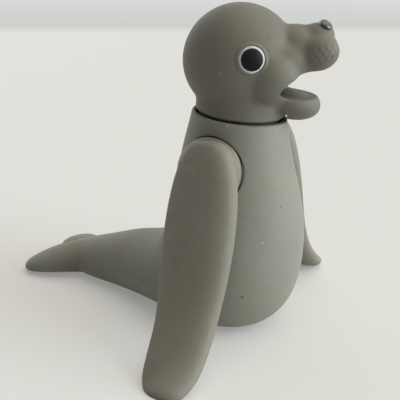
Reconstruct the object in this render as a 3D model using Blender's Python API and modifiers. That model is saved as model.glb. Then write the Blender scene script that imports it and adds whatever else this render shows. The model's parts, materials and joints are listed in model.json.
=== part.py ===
# Seal figurine in hollow soft vinyl. One moulding is the body with its tail and hind flippers.
# The head turns in the body's collar, and each front flipper turns in a socket at the shoulder.
# +X is where the chest faces, +Y is the seal's left side and +Z is up.
# The origin is the middle of the flat under the belly.

import math

import bmesh
import bpy
from mathutils import Matrix, Vector

MM = 0.001

# Vinyl wall and fits
WALL = 2.0 * MM
TURN_GAP = 0.35 * MM

# Past the end of anything, for cuts
BEYOND = 200.0 * MM

# Collar and neck
COLLAR_X = 6.0 * MM
COLLAR_HEIGHT = 79.5 * MM
COLLAR_RADIUS = 16.6 * MM
COLLAR_LIP = 1.2 * MM
COLLAR_DEPTH = 4.6 * MM
COLLAR_GAP = 0.5 * MM
NECK_LEAN = math.radians(4.0)
SHELF_THICKNESS = 2.0 * MM
NECK_SPIGOT_RADIUS = 9.2 * MM
NECK_FLANGE_RADIUS = 11.0 * MM
NECK_FLANGE_THICKNESS = 2.0 * MM
NECK_VENT_RADIUS = 6.4 * MM
HEAD_TURN = math.radians(22.0)

# Torso, from the shoulders down to the end of the tail
SHOULDER_X = 6.2 * MM
SHOULDER_HEIGHT = 62.5 * MM
SHOULDER_HALF_WIDTH = 20.0 * MM
SHOULDER_HALF_DEPTH = 21.1 * MM
CHEST_X = 8.0 * MM
CHEST_HEIGHT = 48.0 * MM
CHEST_HALF_WIDTH = 22.8 * MM
CHEST_HALF_DEPTH = 24.2 * MM
BELLY_X = 7.8 * MM
BELLY_HEIGHT = 33.0 * MM
BELLY_HALF_WIDTH = 26.8 * MM
BELLY_HALF_DEPTH = 26.1 * MM
SEAT_X = 5.0 * MM
SEAT_HEIGHT = 19.2 * MM
SEAT_HALF_WIDTH = 28.2 * MM
SEAT_HALF_DEPTH = 27.9 * MM
HAUNCH_X = -3.2 * MM
HAUNCH_HEIGHT = 12.5 * MM
HAUNCH_HALF_WIDTH = 26.0 * MM
HAUNCH_HALF_DEPTH = 26.3 * MM
RUMP_X = -14.5 * MM
RUMP_HEIGHT = 11.2 * MM
RUMP_HALF_WIDTH = 22.0 * MM
RUMP_HALF_DEPTH = 22.3 * MM
TAIL_LENGTH = 65.0 * MM
TAIL_HALF_WIDTH = 9.6 * MM
TAIL_HALF_HEIGHT = 7.3 * MM

# Hind flippers
HIND_LENGTH = 23.0 * MM
HIND_SPREAD = math.radians(30.0)
HIND_HALF_WIDTH = 8.2 * MM
HIND_HALF_THICKNESS = 2.6 * MM

# Shoulder joint of a front flipper
SOCKET_X = 4.8 * MM
SHOULDER_SLOPE = math.radians(12.0)
ROOT_RADIUS = 12.0 * MM
POCKET_DEPTH = 3.8 * MM
FLIPPER_SPIGOT_RADIUS = 4.6 * MM
FLIPPER_FLANGE_RADIUS = 6.0 * MM
FLIPPER_FLANGE_THICKNESS = 1.6 * MM
FLIPPER_VENT_RADIUS = 2.4 * MM

# Front flipper
FLIPPER_LENGTH = 79.4 * MM
FLIPPER_HALF_WIDTH = 13.2 * MM
FLIPPER_HALF_THICKNESS = 4.4 * MM
FLIPPER_CLEARANCE = 1.1 * MM
FLIPPER_LEAN = math.radians(4.8)
BEND_RISE = 2.6
HAND_HALF_WIDTH = 10.4 * MM
HAND_HALF_THICKNESS = 2.6 * MM

# Head, measured from the middle of the collar's rim. The muzzle is lifted by HEAD_TILT.
HEAD_TILT = math.radians(17.0)
SKULL_BACK = 2.2 * MM
CRANIUM_HEIGHT = 18.9 * MM
CRANIUM_HALF_LENGTH = 19.8 * MM
CRANIUM_HALF_WIDTH = 19.4 * MM
CRANIUM_HALF_HEIGHT = 19.2 * MM
MUZZLE_FORWARD = 17.4 * MM
MUZZLE_DROP = 1.4 * MM
MUZZLE_HALF_LENGTH = 14.0 * MM
MUZZLE_HALF_WIDTH = 10.8 * MM
MUZZLE_HALF_HEIGHT = 9.4 * MM
PAD_FORWARD = 26.6 * MM
PAD_APART = 4.7 * MM
PAD_DROP = 1.8 * MM
PAD_RADIUS = 6.2 * MM
CHEEK_RADIUS = 9.4 * MM
CHEEK_FORWARD = 9.5 * MM
CHEEK_APART = 9.4 * MM
BROW_SLOPE = math.radians(8.0)
JAW_LENGTH = 23.5 * MM
JAW_HINGE_FORWARD = 3.7 * MM
JAW_HINGE_DROP = 10.8 * MM
JAW_DROP = math.radians(28.0)
JAW_HALF_WIDTH = 9.6 * MM
JAW_HALF_HEIGHT = 6.6 * MM
MOUTH_FORWARD = 26.5 * MM
MOUTH_DROP = 12.6 * MM
MOUTH_HALF_LENGTH = 20.0 * MM
MOUTH_HALF_WIDTH = 14.0 * MM
MOUTH_HALF_HEIGHT = 4.8 * MM
EYE_RADIUS = 4.4 * MM
EYE_ROUND = math.radians(73.0)
EYE_UP = math.radians(6.0)
EYE_STANDS_OUT = 0.9 * MM
NOSE_FORWARD = 30.4 * MM
NOSE_HEIGHT = 5.8 * MM
NOSE_HALF_LENGTH = 2.6 * MM
NOSE_HALF_WIDTH = 4.1 * MM
NOSE_HALF_HEIGHT = 2.8 * MM

# Fineness of the faceted solids
RING_POINTS = 12
TURN_POINTS = 40
SKIN_VOXEL = 1.1 * MM
BODY_TRIANGLES = 3600
HEAD_TRIANGLES = 3000
FLIPPER_TRIANGLES = 1500
HOLLOW_TRIANGLES = 600
RING_GROWTH = 3.0 / (2.0 + math.cos(2.0 * math.pi / RING_POINTS))

SHARP_ANGLE = math.radians(38.0)

VINYL = (0.215, 0.215, 0.18)
PAINT_BLACK = (0.006, 0.006, 0.007)


# Scene housekeeping

def clear_scene():
    for old in list(bpy.data.objects):
        bpy.data.objects.remove(old)


def new_collection(name):
    collection = bpy.data.collections.new(name)
    bpy.context.scene.collection.children.link(collection)
    return collection


def paint(name, colour, roughness):
    material = bpy.data.materials.new(name)
    material.use_nodes = True
    shader = material.node_tree.nodes["Principled BSDF"]
    shader.inputs["Base Color"].default_value = (*colour, 1.0)
    shader.inputs["Roughness"].default_value = roughness
    return material


def new_object(name, mesh, collection):
    made = bpy.data.objects.new(name, mesh)
    collection.objects.link(made)
    return made


# Shapes

def ring_matrix(centre, tilt, half_depth, half_width):
    # A circle in the XY plane becomes an ellipse across the spine. Tilt turns it nose down about Y.
    size = Matrix.Diagonal((half_depth * RING_GROWTH, half_width * RING_GROWTH, 1.0, 1.0))
    return Matrix.Translation(centre) @ Matrix.Rotation(tilt, 4, "Y") @ size


def lofted_mesh(name, rings, levels=2):
    # Bridges one circle to the next, closes both ends and rounds the cage with Subdivision Surface.
    cage = bmesh.new()
    loops = []
    for matrix in rings:
        made = bmesh.ops.create_circle(cage, segments=RING_POINTS, radius=1.0, matrix=matrix)
        edges = {edge for vert in made["verts"] for edge in vert.link_edges}
        loops.append(list(edges))
    for first, second in zip(loops, loops[1:]):
        bmesh.ops.bridge_loops(cage, edges=first + second)
    for end in (loops[0], loops[-1]):
        bmesh.ops.contextual_create(cage, geom=end)
    bmesh.ops.recalc_face_normals(cage, faces=cage.faces)
    mesh = bpy.data.meshes.new(name)
    cage.to_mesh(mesh)
    cage.free()
    return evaluated(mesh, ("SUBSURF", {"levels": levels, "render_levels": levels}))


def evaluated(mesh, *modifiers):
    # The mesh after these modifiers, as a new mesh.
    holder = bpy.data.objects.new("holder", mesh)
    bpy.context.scene.collection.objects.link(holder)
    for kind, settings in modifiers:
        modifier = holder.modifiers.new(kind.title(), kind)
        for key, value in settings.items():
            setattr(modifier, key, value)
    graph = bpy.context.evaluated_depsgraph_get()
    made = bpy.data.meshes.new_from_object(holder.evaluated_get(graph))
    bpy.data.objects.remove(holder)
    return made


def joined(meshes):
    whole = bmesh.new()
    for mesh in meshes:
        whole.from_mesh(mesh)
    made = bpy.data.meshes.new("joined")
    whole.to_mesh(made)
    whole.free()
    return made


def thinned(mesh, triangles):
    # Keeps about this many triangles.
    share = triangles / (2.0 * len(mesh.polygons))
    return evaluated(mesh, ("DECIMATE", {"ratio": min(1.0, share)}))


def skin(meshes, smoothing, triangles):
    # One soft surface round all the pieces, as clay is blended.
    blended = evaluated(
        joined(meshes),
        ("REMESH", {"mode": "VOXEL", "voxel_size": SKIN_VOXEL}),
        ("SMOOTH", {"factor": 0.5, "iterations": smoothing}),
    )
    return thinned(blended, triangles)


def placed(mesh, place):
    mesh.transform(place)
    return mesh


def ellipsoid(centre, radii, pitch=0.0, segments=24):
    # Pitch lifts the front end.
    ball = bmesh.new()
    bmesh.ops.create_uvsphere(ball, u_segments=segments, v_segments=segments // 2, radius=1.0)
    place = Matrix.Translation(centre) @ Matrix.Rotation(-pitch, 4, "Y") @ Matrix.Diagonal((*radii, 1.0))
    bmesh.ops.transform(ball, matrix=place, verts=ball.verts)
    mesh = bpy.data.meshes.new("ellipsoid")
    ball.to_mesh(mesh)
    ball.free()
    return mesh


def turned(profile, place):
    # A closed solid of revolution. The profile lists (radius, height) points down the outside.
    line = bmesh.new()
    points = [line.verts.new((radius, 0.0, height)) for radius, height in profile]
    for first, second in zip(points, points[1:]):
        line.edges.new((first, second))
    bmesh.ops.spin(
        line, geom=line.verts[:] + line.edges[:], cent=(0.0, 0.0, 0.0), axis=(0.0, 0.0, 1.0),
        angle=2.0 * math.pi, steps=TURN_POINTS, use_merge=True,
    )
    bmesh.ops.holes_fill(line, edges=line.edges, sides=0)
    bmesh.ops.recalc_face_normals(line, faces=line.faces)
    bmesh.ops.transform(line, matrix=place, verts=line.verts)
    mesh = bpy.data.meshes.new("turned")
    line.to_mesh(mesh)
    line.free()
    return mesh


def drum(radius, low, high, place):
    return turned([(radius, high), (radius, low)], place)


def block(low, high):
    cube = bmesh.new()
    middle = (Vector(low) + Vector(high)) / 2.0
    size = Vector(high) - Vector(low)
    place = Matrix.Translation(middle) @ Matrix.Diagonal((*size, 1.0))
    bmesh.ops.create_cube(cube, size=1.0, matrix=place)
    mesh = bpy.data.meshes.new("block")
    cube.to_mesh(mesh)
    cube.free()
    return mesh


def under_floor(height=0.0):
    # All that lies below this height.
    return block((-BEYOND, -BEYOND, -BEYOND), (BEYOND, BEYOND, height))


def combined(base, steps, helpers):
    # Applies (operation, mesh) steps one after another with exact Booleans.
    holder = new_object("holder", base, helpers)
    for operation, mesh in steps:
        tool = new_object("tool", mesh, helpers)
        cut = holder.modifiers.new("Cut", "BOOLEAN")
        cut.operation = operation
        cut.object = tool
        cut.solver = "EXACT"
        graph = bpy.context.evaluated_depsgraph_get()
        made = bpy.data.meshes.new_from_object(holder.evaluated_get(graph))
        holder.modifiers.clear()
        holder.data = made
        bpy.data.objects.remove(tool)
    result = holder.data
    bpy.data.objects.remove(holder)
    return result


# Frames of the joints

def neck_frame():
    # Z runs up the neck's axis from the middle of the collar's rim.
    return Matrix.Translation((COLLAR_X, 0.0, COLLAR_HEIGHT)) @ Matrix.Rotation(NECK_LEAN, 4, "Y")


def shoulder_frame(side):
    # Z points out of the body along the shoulder's axis, and X points down along the flipper.
    out = Vector((0.0, side * math.cos(SHOULDER_SLOPE), math.sin(SHOULDER_SLOPE)))
    down = Vector((0.0, side * math.sin(SHOULDER_SLOPE), -math.cos(SHOULDER_SLOPE)))
    across = out.cross(down)
    place = Vector((SOCKET_X, side * SHOULDER_HALF_WIDTH, SHOULDER_HEIGHT))
    axes = Matrix((down, across, out)).transposed()
    return Matrix.Translation(place) @ axes.to_4x4()


# Body

def torso_rings(inset=0.0):
    # From above the collar down the chest, round the seat and along the tail. A station gives the
    # ring's middle, its tilt in degrees and its half depth and half width.
    stations = [
        (COLLAR_X + 0.5 * MM, COLLAR_HEIGHT + 6.0 * MM, 4.0, COLLAR_RADIUS, COLLAR_RADIUS),
        (COLLAR_X, COLLAR_HEIGHT, 4.0, COLLAR_RADIUS, COLLAR_RADIUS),
        (SHOULDER_X, SHOULDER_HEIGHT, 4.9, SHOULDER_HALF_DEPTH, SHOULDER_HALF_WIDTH),
        (CHEST_X, CHEST_HEIGHT, 4.8, CHEST_HALF_DEPTH, CHEST_HALF_WIDTH),
        (BELLY_X, BELLY_HEIGHT, 9.9, BELLY_HALF_DEPTH, BELLY_HALF_WIDTH),
        (SEAT_X, SEAT_HEIGHT, 21.5, SEAT_HALF_DEPTH, SEAT_HALF_WIDTH),
        (HAUNCH_X, HAUNCH_HEIGHT, 32.2, HAUNCH_HALF_DEPTH, HAUNCH_HALF_WIDTH),
        (RUMP_X, RUMP_HEIGHT, 38.2, RUMP_HALF_DEPTH, RUMP_HALF_WIDTH),
        (-0.446 * TAIL_LENGTH, 11.2 * MM, 51.9, 16.2 * MM, 17.2 * MM),
        (-0.646 * TAIL_LENGTH, 10.2 * MM, 70.0, 11.7 * MM, 13.2 * MM),
        (-0.854 * TAIL_LENGTH, 8.1 * MM, 80.4, 9.0 * MM, 11.2 * MM),
        (-TAIL_LENGTH, 6.8 * MM, 88.0, TAIL_HALF_HEIGHT, TAIL_HALF_WIDTH),
    ]
    return [
        ring_matrix(Vector((x, 0.0, z)), math.radians(tilt), depth - inset, width - inset)
        for x, z, tilt, depth, width in stations
    ]


def hind_flipper_rings(side):
    # A flat fan that widens from the end of the tail and rests on the ground. A station gives its
    # share of the length, its height, and its share of the half width and of the half thickness.
    stations = [
        (-0.45, 8.2, 0.74, 3.0),
        (-0.10, 7.6, 0.86, 2.8),
        (0.25, 6.6, 1.0, 2.35),
        (0.58, 4.9, 0.96, 1.75),
        (0.84, 3.2, 0.70, 1.15),
        (1.0, 2.2, 0.34, 0.6),
    ]
    root = Vector((-TAIL_LENGTH, side * 4.0 * MM, 0.0))
    turn = Matrix.Rotation(-side * HIND_SPREAD, 4, "Z")
    rings = []
    for share, height, width, thickness in stations:
        along = Vector((-share * HIND_LENGTH, 0.0, height * MM))
        place = Matrix.Translation(root) @ turn @ Matrix.Translation(along)
        size = (
            HIND_HALF_THICKNESS * thickness * RING_GROWTH,
            HIND_HALF_WIDTH * width * RING_GROWTH,
            1.0,
            1.0,
        )
        rings.append(place @ Matrix.Rotation(math.radians(90.0), 4, "Y") @ Matrix.Diagonal(size))
    return rings


def collar_cutter():
    # Clears everything above the rim, the bowl that the head sits in and the hole in the shelf.
    bore = COLLAR_RADIUS - COLLAR_LIP
    hole = NECK_SPIGOT_RADIUS + TURN_GAP
    return turned([
        (BEYOND, BEYOND),
        (BEYOND, 0.0),
        (bore + 0.3 * MM, 0.0),
        (bore, -0.4 * MM),
        (bore, -COLLAR_DEPTH),
        (hole, -COLLAR_DEPTH),
        (hole, -COLLAR_DEPTH - 3.0 * SHELF_THICKNESS),
    ], neck_frame())


def body_mesh(helpers):
    parts = [lofted_mesh("torso", torso_rings())]
    for side in (1, -1):
        parts.append(lofted_mesh("hind", hind_flipper_rings(side)))
    outside = skin(parts, 4, BODY_TRIANGLES)
    hollow = thinned(lofted_mesh("hollow", torso_rings(WALL)[:-2]), HOLLOW_TRIANGLES)
    keep = [
        ("DIFFERENCE", drum(BEYOND, -COLLAR_DEPTH - SHELF_THICKNESS, BEYOND, neck_frame())),
        ("DIFFERENCE", under_floor(WALL)),
    ]
    cuts = [
        ("DIFFERENCE", under_floor()),
        ("DIFFERENCE", collar_cutter()),
    ]
    for side in (1, -1):
        frame = shoulder_frame(side)
        pocket = ROOT_RADIUS + TURN_GAP
        hole = FLIPPER_SPIGOT_RADIUS + TURN_GAP
        outer = 3.0 * ROOT_RADIUS
        keep.append(("DIFFERENCE", drum(pocket + WALL, -POCKET_DEPTH - WALL, outer, frame)))
        cuts.append(("DIFFERENCE", drum(pocket, -POCKET_DEPTH, outer, frame)))
        cuts.append(("DIFFERENCE", drum(hole, -POCKET_DEPTH - 2.0 * WALL, outer, frame)))
    cuts.append(("DIFFERENCE", combined(hollow, keep, helpers)))
    return combined(outside, cuts, helpers)


# Front flippers

def flipper_path(along, whole_bend):
    # Straight at the shoulder, then bending further out of the body all the way to the hand.
    steps = 24
    down = min(along, 0.0)
    out = FLIPPER_CLEARANCE + FLIPPER_HALF_THICKNESS
    bend = 0.0
    for step in range(steps):
        share = (step + 0.5) / steps * max(along, 0.0) / FLIPPER_LENGTH
        bend = whole_bend * share ** BEND_RISE
        down += math.cos(bend) * max(along, 0.0) / steps
        out += math.sin(bend) * max(along, 0.0) / steps
    return down, out, bend


def flipper_bend():
    # The bend at which the hand's tip just comes down to the ground, found by halving the range.
    low, high = 0.0, math.radians(150.0)
    for _ in range(40):
        bend = 0.5 * (low + high)
        down, out, _ = flipper_path(FLIPPER_LENGTH, bend)
        tip = shoulder_frame(1) @ Vector((down, 0.0, out))
        if tip.z < 0.0:
            low = bend
        else:
            high = bend
    return bend


def flipper_rings(side, inset=0.0):
    # From the top down to the hand's tip. A station gives its way along, its half width and half
    # thickness, and how far forward of the shoulder's axis its middle is.
    whole_bend = flipper_bend()
    wide, thick = FLIPPER_HALF_WIDTH, FLIPPER_HALF_THICKNESS
    hand, hand_thick = HAND_HALF_WIDTH, HAND_HALF_THICKNESS
    stations = [
        (-0.9 * ROOT_RADIUS, 0.32 * wide, 0.5 * thick, 2.8 * MM),
        (-0.74 * ROOT_RADIUS, 0.56 * wide, 0.78 * thick, 2.8 * MM),
        (-0.34 * ROOT_RADIUS, 0.76 * wide, 0.96 * thick, 2.6 * MM),
        (0.06 * FLIPPER_LENGTH, 0.92 * wide, thick, 2.0 * MM),
        (0.24 * FLIPPER_LENGTH, 1.02 * wide, thick, 1.2 * MM),
        (0.46 * FLIPPER_LENGTH, 0.96 * wide, 0.95 * thick, 0.6 * MM),
        (0.66 * FLIPPER_LENGTH, 0.44 * wide + 0.5 * hand, 0.8 * thick, 1.2 * MM),
        (0.84 * FLIPPER_LENGTH, 1.04 * hand, hand_thick, 1.6 * MM),
        (0.95 * FLIPPER_LENGTH, 0.8 * hand, 0.8 * hand_thick, 2.4 * MM),
        (FLIPPER_LENGTH, 0.44 * hand, 0.5 * hand_thick, 3.0 * MM),
    ]
    rings = []
    for along, width, thickness, forward in stations:
        down, out, bend = flipper_path(along, whole_bend)
        size = ((thickness - inset) * RING_GROWTH, (width - inset) * RING_GROWTH, 1.0, 1.0)
        turn = Matrix.Rotation(math.radians(90.0) - bend, 4, "Y")
        rings.append(Matrix.Translation((down, -side * forward, out)) @ turn @ Matrix.Diagonal(size))
    return rings


def flipper_plug():
    # The sunk part of the root disc, the spigot and the flange that holds it behind the body's wall.
    seat = -POCKET_DEPTH + TURN_GAP
    behind = -POCKET_DEPTH - WALL - TURN_GAP
    return [
        (ROOT_RADIUS - 1.0 * MM, seat + 2.0 * MM),
        (ROOT_RADIUS - 1.0 * MM, seat + 1.0 * MM),
        (ROOT_RADIUS, seat + 1.0 * MM),
        (ROOT_RADIUS, seat),
        (FLIPPER_SPIGOT_RADIUS, seat),
        (FLIPPER_SPIGOT_RADIUS, behind),
        (FLIPPER_FLANGE_RADIUS, behind),
        (FLIPPER_FLANGE_RADIUS - 0.8 * MM, behind - FLIPPER_FLANGE_THICKNESS),
    ]


def shoulder_dome():
    # The round shoulder that the flipper hangs from: the outside of the root disc and its crown.
    seat = -POCKET_DEPTH + TURN_GAP
    crown = FLIPPER_CLEARANCE + 2.0 * FLIPPER_HALF_THICKNESS
    side_height = 1.6 * MM
    rise = crown - side_height
    profile = [(ROOT_RADIUS, seat + 1.0 * MM), (ROOT_RADIUS, side_height)]
    for step in range(1, 7):
        angle = math.radians(90.0) * step / 7
        profile.append((ROOT_RADIUS * math.cos(angle), side_height + rise * math.sin(angle)))
    return turned(list(reversed(profile)), Matrix.Identity(4))


def flipper_mesh(side, helpers):
    frame = shoulder_frame(side)
    lean = Matrix.Rotation(-side * FLIPPER_LEAN, 4, "Z")
    blade = placed(lofted_mesh("blade", flipper_rings(side)), lean)
    outside = skin([blade, shoulder_dome()], 3, FLIPPER_TRIANGLES)
    under = -POCKET_DEPTH + TURN_GAP + 1.4 * MM
    hollow = thinned(lofted_mesh("hollow", flipper_rings(side, WALL)[1:6]), HOLLOW_TRIANGLES // 2)
    vent = drum(FLIPPER_VENT_RADIUS, -20.0 * MM, FLIPPER_HALF_THICKNESS, Matrix.Identity(4))
    made = combined(outside, [
        ("DIFFERENCE", drum(2.0 * ROOT_RADIUS, -10.0 * MM, under, Matrix.Identity(4))),
        ("UNION", turned(flipper_plug(), Matrix.Identity(4))),
        ("DIFFERENCE", placed(hollow, lean)),
        ("DIFFERENCE", vent),
    ], helpers)
    return combined(placed(made, frame), [("DIFFERENCE", under_floor())], helpers)


# Head

def head_frame():
    # Stands in the collar with the head turned on the neck's axis.
    return neck_frame() @ Matrix.Rotation(HEAD_TURN, 4, "Z")


def skull_frame():
    # X runs out along the lifted muzzle from the middle of the cranium.
    return Matrix.Translation((-SKULL_BACK, 0.0, CRANIUM_HEIGHT)) @ Matrix.Rotation(-HEAD_TILT, 4, "Y")


def head_lumps():
    # The clay balls that the head is built up from, in the skull's frame.
    muzzle = (MUZZLE_FORWARD, 0.0, -MUZZLE_DROP)
    brow = (0.42 * CRANIUM_HALF_LENGTH, 0.0, 0.04 * CRANIUM_HALF_HEIGHT)
    brow_radii = (0.73 * CRANIUM_HALF_LENGTH, 0.62 * CRANIUM_HALF_WIDTH, 0.57 * CRANIUM_HALF_HEIGHT)
    bridge = (NOSE_FORWARD - 3.4 * MM, 0.0, NOSE_HEIGHT - 2.8 * MM)
    bridge_radii = (6.4 * MM, 6.0 * MM, 4.6 * MM)
    throat = (0.33 * CRANIUM_HALF_LENGTH, 0.0, -0.6 * CRANIUM_HALF_HEIGHT)
    throat_radii = (0.65 * CRANIUM_HALF_LENGTH, 0.63 * CRANIUM_HALF_WIDTH, 0.43 * CRANIUM_HALF_HEIGHT)
    jaw_reach = Vector((math.cos(JAW_DROP), 0.0, -math.sin(JAW_DROP))) * 0.5 * JAW_LENGTH
    jaw = Vector((JAW_HINGE_FORWARD, 0.0, -JAW_HINGE_DROP)) + jaw_reach
    lumps = [
        ellipsoid((0.0, 0.0, 0.0), (CRANIUM_HALF_LENGTH, CRANIUM_HALF_WIDTH, CRANIUM_HALF_HEIGHT)),
        ellipsoid(muzzle, (MUZZLE_HALF_LENGTH, MUZZLE_HALF_WIDTH, MUZZLE_HALF_HEIGHT)),
        ellipsoid(brow, brow_radii, -BROW_SLOPE),
        ellipsoid(bridge, bridge_radii),
        ellipsoid(jaw, (0.52 * JAW_LENGTH, JAW_HALF_WIDTH, JAW_HALF_HEIGHT), -JAW_DROP),
        ellipsoid(throat, throat_radii, -JAW_DROP),
    ]
    for side in (1, -1):
        pad = (PAD_FORWARD, side * PAD_APART, -PAD_DROP)
        cheek = (CHEEK_FORWARD, side * CHEEK_APART, -0.64 * CHEEK_RADIUS)
        lumps.append(ellipsoid(pad, (1.2 * PAD_RADIUS, PAD_RADIUS, PAD_RADIUS)))
        lumps.append(ellipsoid(cheek, (1.1 * CHEEK_RADIUS, CHEEK_RADIUS, CHEEK_RADIUS)))
    return lumps


def mouth_cutter():
    # A lens between the lips, thin at the corners of the mouth and open at the front.
    place = (MOUTH_FORWARD, 0.0, -MOUTH_DROP)
    radii = (MOUTH_HALF_LENGTH, MOUTH_HALF_WIDTH, MOUTH_HALF_HEIGHT)
    return ellipsoid(place, radii, -0.3 * JAW_DROP, segments=32)


def neck_profile():
    # Down the outside of the head below the cheeks: cone, seat, spigot and retaining flange.
    seat = COLLAR_RADIUS - COLLAR_LIP - COLLAR_GAP
    under = -COLLAR_DEPTH + TURN_GAP
    behind = -COLLAR_DEPTH - SHELF_THICKNESS - TURN_GAP
    flare = 4.6 * MM
    return [
        (seat + flare, flare),
        (seat, 0.0),
        (seat, -2.4 * MM),
        (seat - 1.6 * MM, under),
        (NECK_SPIGOT_RADIUS, under),
        (NECK_SPIGOT_RADIUS, behind),
        (NECK_FLANGE_RADIUS, behind),
        (NECK_FLANGE_RADIUS - 0.8 * MM, behind - NECK_FLANGE_THICKNESS),
    ]


def eye_matrix(side):
    # Sits on the cranium, facing out along its surface.
    level = math.cos(EYE_UP)
    heading = Vector((math.cos(EYE_ROUND) * level, side * math.sin(EYE_ROUND) * level, math.sin(EYE_UP)))
    radii = Vector((CRANIUM_HALF_LENGTH, CRANIUM_HALF_WIDTH, CRANIUM_HALF_HEIGHT))
    place = heading * radii
    normal = Vector(heading[i] / radii[i] for i in range(3)).normalized()
    return Matrix.Translation(place) @ normal.to_track_quat("Z", "Y").to_matrix().to_4x4()


def eye_mesh(side):
    dome = ellipsoid((0.0, 0.0, -0.6 * MM), (EYE_RADIUS, EYE_RADIUS, EYE_STANDS_OUT + 0.6 * MM))
    return placed(dome, eye_matrix(side))


def painted_shapes():
    radii = (NOSE_HALF_LENGTH, NOSE_HALF_WIDTH, NOSE_HALF_HEIGHT)
    nose = ellipsoid((NOSE_FORWARD, 0.0, NOSE_HEIGHT), radii, segments=16)
    return [nose, eye_mesh(1), eye_mesh(-1)]


def head_hollows():
    # The cranium's hollow runs on into the muzzle, and the wall stays thicker there.
    back, up, wall = 1.75 * WALL, 1.25 * WALL, 1.2 * WALL
    cranium = (CRANIUM_HALF_LENGTH - wall - back, CRANIUM_HALF_WIDTH - wall, CRANIUM_HALF_HEIGHT - wall - up)
    muzzle = (0.76 * MUZZLE_HALF_LENGTH, 0.54 * MUZZLE_HALF_WIDTH, 0.36 * MUZZLE_HALF_HEIGHT)
    return [
        ellipsoid((-back, 0.0, up), cranium),
        ellipsoid((MUZZLE_FORWARD - WALL, 0.0, 0.3 * WALL), muzzle),
    ]


def head_mesh(helpers, vinyl, black):
    level = Matrix.Identity(4)
    skull = skull_frame()
    lumps = [placed(lump, skull) for lump in head_lumps()]
    lumps.append(drum(COLLAR_RADIUS - 0.8 * MM, -2.6 * COLLAR_DEPTH, 8.0 * MM, level))
    outside = skin(lumps, 4, HEAD_TRIANGLES)
    outside.materials.append(vinyl)
    profile = neck_profile()
    widest, top = profile[0]
    sheath = drum(widest, -30.0 * MM, top, level)
    neck = turned([(widest + 1.0 * MM, top + 1.0 * MM)] + profile, level)
    around = combined(sheath, [("DIFFERENCE", neck)], helpers)
    steps = [("DIFFERENCE", around), ("DIFFERENCE", placed(mouth_cutter(), skull))]
    for shape in painted_shapes():
        shape.materials.append(black)
        steps.append(("UNION", placed(shape, skull)))
    for hollow in head_hollows():
        steps.append(("DIFFERENCE", placed(hollow, skull)))
    steps.append(("DIFFERENCE", drum(NECK_VENT_RADIUS, -20.0 * MM, 10.0 * MM, level)))
    return combined(outside, steps, helpers)


def add_piece(name, mesh, collection, axis=Matrix.Identity(4)):
    # The mesh is in world space, and the object's origin goes on its joint's axis.
    mesh.transform(axis.inverted())
    mesh.shade_smooth()
    mesh.set_sharp_from_angle(angle=SHARP_ANGLE)
    piece = new_object(name, mesh, collection)
    piece.matrix_world = axis
    return piece


def main():
    clear_scene()
    parts = new_collection("seal_figurine")
    helpers = new_collection("helpers")
    vinyl = paint("grey_vinyl", VINYL, 0.55)
    black = paint("black_paint", PAINT_BLACK, 0.2)
    body = add_piece("body", body_mesh(helpers), parts)
    left = add_piece("front_flipper_left", flipper_mesh(1, helpers), parts, shoulder_frame(1))
    right = add_piece("front_flipper_right", flipper_mesh(-1, helpers), parts, shoulder_frame(-1))
    for piece in (body, left, right):
        piece.data.materials.clear()
        piece.data.materials.append(vinyl)
    head = placed(head_mesh(helpers, vinyl, black), head_frame())
    add_piece("head", head, parts, neck_frame())


main()
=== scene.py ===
# Seal figurine in hollow soft vinyl, sitting upright on a pale table.
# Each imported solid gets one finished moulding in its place, and the head gets its paint.

import json
import math

import bmesh
import bpy
import numpy as np
from mathutils import Matrix, Vector


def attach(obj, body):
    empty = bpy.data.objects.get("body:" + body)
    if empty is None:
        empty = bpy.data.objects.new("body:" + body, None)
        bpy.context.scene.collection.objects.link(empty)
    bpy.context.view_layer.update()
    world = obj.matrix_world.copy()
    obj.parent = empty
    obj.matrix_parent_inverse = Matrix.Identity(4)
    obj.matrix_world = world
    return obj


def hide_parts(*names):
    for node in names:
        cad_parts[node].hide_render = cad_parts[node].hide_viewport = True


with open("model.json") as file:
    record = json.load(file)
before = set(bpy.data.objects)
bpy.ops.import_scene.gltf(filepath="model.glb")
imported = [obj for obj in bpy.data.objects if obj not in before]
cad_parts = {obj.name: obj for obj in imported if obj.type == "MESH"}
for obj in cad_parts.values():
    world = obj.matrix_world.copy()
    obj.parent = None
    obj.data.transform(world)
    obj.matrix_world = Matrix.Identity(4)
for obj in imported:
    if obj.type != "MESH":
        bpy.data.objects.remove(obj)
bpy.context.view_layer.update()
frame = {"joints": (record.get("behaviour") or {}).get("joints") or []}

mm = 0.001
level = Matrix.Identity(4)
beyond = 200 * mm           # past the end of anything, for cuts
creaseAngle = 32            # degrees, past which an edge is drawn sharp


# Camera, placed round a point inside the figurine as the photograph was taken
cameraPlace = {
    "pivot": (-15, 0, 50),      # mm
    "distance": 271,
    "azimuth": 29.5,            # degrees round from straight at the seal's right side
    "elevation": 18.5,
    "roll": 2.2,
    "aimRight": 5.71,           # the pivot isn't quite in the middle of the picture
    "aimUp": -7.77,
    "focalPixels": 706,         # the lens, for a picture this many pixels wide
    "framePixels": 400,
    "filmWidth": 36,
    "nearest": 0.01,            # metres
}


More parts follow.
